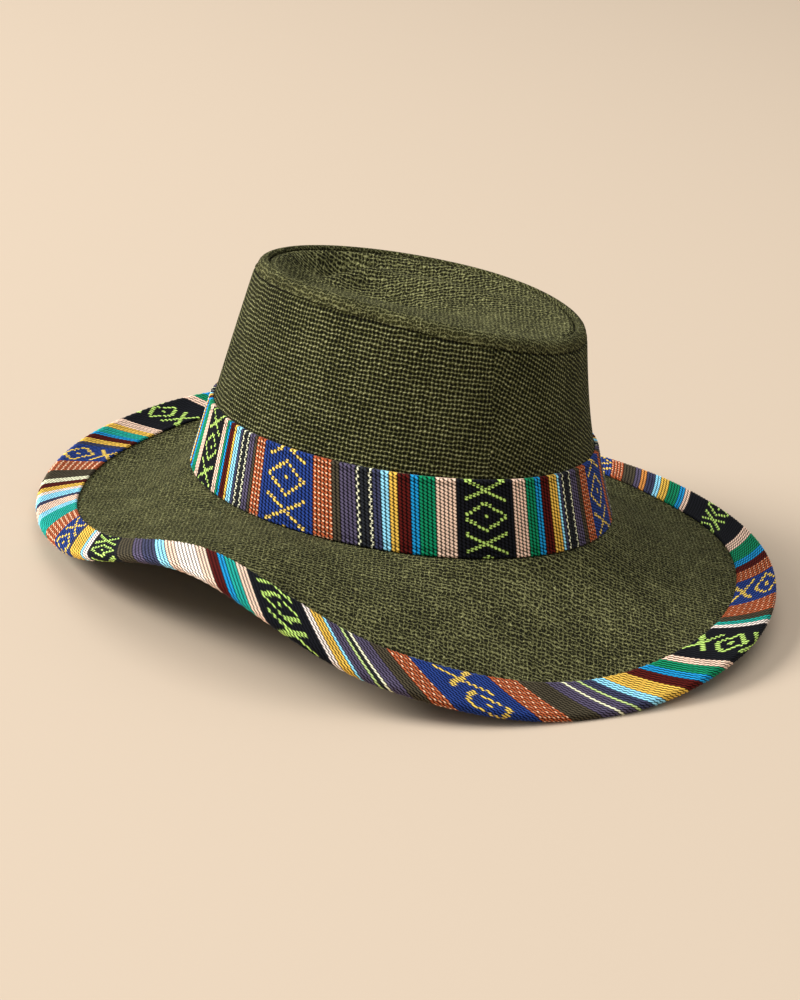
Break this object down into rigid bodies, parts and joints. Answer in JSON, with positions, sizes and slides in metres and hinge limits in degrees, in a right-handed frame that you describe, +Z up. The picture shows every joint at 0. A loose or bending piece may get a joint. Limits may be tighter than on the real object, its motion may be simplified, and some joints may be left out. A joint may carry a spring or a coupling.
{
  "type": "safari hat",
  "caption": "Soft cloth hat with an oval tapered crown, a pressed top, a patterned band and a wide wavy brim bound in patterned cloth.",
  "frame": {"origin": "middle of the hat's outline seen from above, on the level surface that it rests on", "axes": "+Z up from that surface, -Y towards the hat's front, +X towards the wearer's left"},
  "size_m": [0.3248, 0.3532, 0.1332],
  "materials": {
    "olive_cloth": "coarse open plain weave, matt",
    "patterned_cloth": "warp-faced striped weave, matt"
  },
  "bodies": {
    "root": {"crown_tip": "olive_cloth", "crown_side": "olive_cloth", "brim": "olive_cloth", "hat_band": "patterned_cloth", "brim_binding": "patterned_cloth"}
  },
  "joints": []
}
